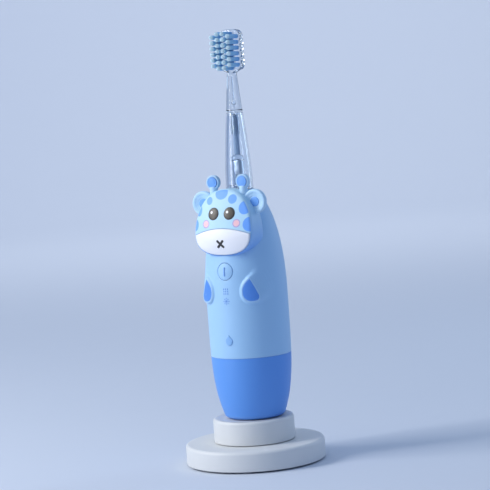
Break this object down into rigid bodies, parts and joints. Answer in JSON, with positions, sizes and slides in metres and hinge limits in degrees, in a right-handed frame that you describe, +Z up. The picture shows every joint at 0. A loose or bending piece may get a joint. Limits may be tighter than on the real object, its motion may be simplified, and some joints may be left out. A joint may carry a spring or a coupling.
{
  "type": "electric toothbrush on charger",
  "caption": "Child's sonic toothbrush with a giraffe face and a clear clip-on brush head, standing on a round two-step induction charger.",
  "frame": {"origin": "centre of the charger's base disc, on the surface it stands on", "axes": "+Z up along the toothbrush, and the toothbrush's face and bristles look along -Y"},
  "size_m": [0.065, 0.065, 0.2011],
  "materials": {
    "charger_shell": "satin moulded ABS, pale grey-white",
    "sleeve_soft_touch": "soft-touch coated, light blue",
    "face_soft_touch": "soft-touch coated, paler blue",
    "deep_blue_plastic": "satin moulded ABS, deep blue",
    "muzzle_plastic": "satin white",
    "eye_plastic": "glossy domed",
    "clear_plastic": "clear polycarbonate, polished",
    "bristle_nylon": "nylon filaments with pale tips",
    "housing_plastic": "natural ABS",
    "lens_plastic": "translucent moulded",
    "foot_rubber": "moulded",
    "seal_rubber": "silicone, moulded",
    "steel": "drawn, plain",
    "copper_winding": "enamelled copper wire, wound",
    "ferrite": "sintered",
    "ballast_iron": "as cast",
    "board_laminate": "solder-masked laminate",
    "cell_can": "metal can in a printed plastic wrap",
    "chassis_plastic": "glass-filled nylon",
    "switch_plastic": "moulded",
    "led_resin": "cast resin"
  },
  "bodies": {
    "charger": {"base_shell": "charger_shell", "base_plate": "charger_shell", "rubber_foot_1": "foot_rubber", "rubber_foot_2": "foot_rubber", "rubber_foot_3": "foot_rubber", "rubber_foot_4": "foot_rubber", "base_screw_1": "steel", "base_screw_2": "steel", "base_screw_3": "steel", "puck_screw_1": "steel", "puck_screw_2": "steel", "puck_screw_3": "steel", "ballast": "ballast_iron", "power_inlet": "steel", "charger_board": "board_laminate", "charging_puck": "charger_shell", "coil_bobbin": "chassis_plastic", "primary_coil": "copper_winding", "ferrite_rod": "ferrite"},
    "handle": {"motor_can": "steel", "lower_bearing": "steel", "upper_bearing": "steel", "circuit_board": "board_laminate", "chassis": "chassis_plastic", "receiver_coil": "copper_winding", "stator_coil": "copper_winding", "base_cup": "deep_blue_plastic", "paw_patch_left": "deep_blue_plastic", "paw_patch_right": "deep_blue_plastic", "ear_patch_left": "deep_blue_plastic", "ear_patch_right": "deep_blue_plastic", "horn_cap_left": "deep_blue_plastic", "horn_cap_right": "deep_blue_plastic", "sleeve": "sleeve_soft_touch", "face_shell": "face_soft_touch", "ear_left": "face_soft_touch", "ear_right": "face_soft_touch", "horn_left": "face_soft_touch", "horn_right": "face_soft_touch", "muzzle": "muzzle_plastic", "eye_left": "eye_plastic", "eye_right": "eye_plastic", "indicator_lens_1": "lens_plastic", "indicator_lens_2": "lens_plastic", "inner_housing": "housing_plastic", "o_ring": "seal_rubber", "top_seal": "seal_rubber", "battery_cell": "cell_can", "tact_switch": "switch_plastic", "led_1": "led_resin", "led_2": "led_resin"},
    "button": {"power_button": "sleeve_soft_touch", "switch_plunger": "switch_plastic"},
    "shaft": {"drive_shaft": "steel", "rotor_magnet": "ferrite"},
    "brush_head": {"brush_head_body": "clear_plastic", "neck_sleeve": "clear_plastic", "shaft_socket": "deep_blue_plastic", "bristle_block": "bristle_nylon"}
  },
  "joints": [
    {"name": "handle_lift", "type": "slide", "parent": "charger", "child": "handle", "axis": [0, 0, 1], "range_m": [0, 0.06]},
    {"name": "brush_swing", "type": "hinge", "parent": "handle", "child": "shaft", "pos_m": [0, 0.002, 0.1], "axis": [0, 0, 1], "range_deg": [-5, 5], "stiffness_Nm_per_rad": 0.02},
    {"name": "brush_pull_off", "type": "slide", "parent": "shaft", "child": "brush_head", "axis": [0, 0, 1], "range_m": [0, 0.03]},
    {"name": "power_button_press", "type": "slide", "parent": "handle", "child": "button", "axis": [0, 1, 0], "range_m": [0, 0.0005], "stiffness_N_per_m": 300}
  ]
}
